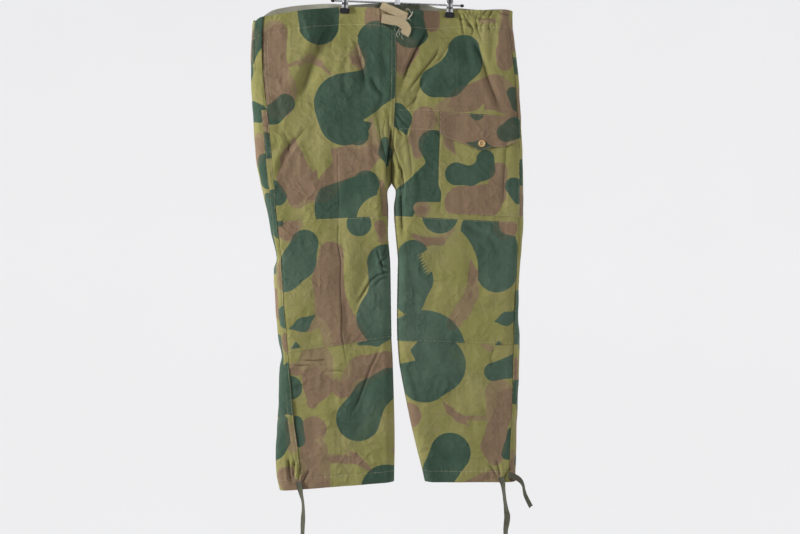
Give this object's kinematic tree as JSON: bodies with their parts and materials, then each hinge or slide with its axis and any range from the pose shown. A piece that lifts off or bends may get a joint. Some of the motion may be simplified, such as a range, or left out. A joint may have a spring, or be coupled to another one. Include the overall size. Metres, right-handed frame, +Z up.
{
  "type": "overtrousers on a clip hanger",
  "caption": "Camouflage cotton overtrousers with knee patches, a flapped thigh pocket and tape drawstrings, hung by the waist from a metal clip hanger.",
  "frame": {"origin": "inside top of the hanger's hook, where it rests on a rail", "axes": "+Z up, +X to the viewer's right as the front is seen (the wearer's left), +Y from the front of the garment to its back"},
  "size_m": [0.6388, 0.0692, 1.3379],
  "materials": {
    "camouflage_cotton": "matt windproof cotton, screen printed in light olive, dark green and brown",
    "tape_cotton": "woven beige cotton tape",
    "ankle_tape_cotton": "woven olive-grey cotton tape",
    "horn_button": "polished tan horn-like button",
    "chrome_wire": "bright plated steel",
    "black_rubber": "matt black rubber"
  },
  "bodies": {
    "root": {"front_right_panel": "camouflage_cotton", "front_left_panel": "camouflage_cotton", "back_right_panel": "camouflage_cotton", "back_left_panel": "camouflage_cotton", "waist_casing_front_right": "camouflage_cotton", "waist_casing_front_left": "camouflage_cotton", "waist_casing_back_right": "camouflage_cotton", "waist_casing_back_left": "camouflage_cotton", "hem_casing_right": "camouflage_cotton", "hem_casing_left": "camouflage_cotton", "knee_patch_right": "camouflage_cotton", "knee_patch_left": "camouflage_cotton", "thigh_pocket": "camouflage_cotton", "pocket_flap": "camouflage_cotton", "side_seam_right": "camouflage_cotton", "side_seam_left": "camouflage_cotton", "side_slit_strip": "camouflage_cotton", "centre_seam_front": "camouflage_cotton", "knee_tack_right": "camouflage_cotton", "knee_tack_left": "camouflage_cotton", "waist_tape_end_a": "tape_cotton", "waist_tape_end_b": "tape_cotton", "ankle_tape_right": "ankle_tape_cotton", "ankle_tape_left_long": "ankle_tape_cotton", "ankle_tape_left_short": "ankle_tape_cotton", "pocket_button": "horn_button", "clip_right_spring": "chrome_wire", "clip_right_front_arm": "chrome_wire", "clip_right_back_arm": "chrome_wire", "clip_right_front_pad": "black_rubber", "clip_right_back_pad": "black_rubber", "clip_left_spring": "chrome_wire", "clip_left_front_arm": "chrome_wire", "clip_left_back_arm": "chrome_wire", "clip_left_front_pad": "black_rubber", "clip_left_back_pad": "black_rubber", "hanger_hook": "chrome_wire", "hanger_rod": "chrome_wire", "hanger_collar": "chrome_wire", "rod_cap_right": "black_rubber", "rod_cap_left": "black_rubber"}
  },
  "joints": []
}
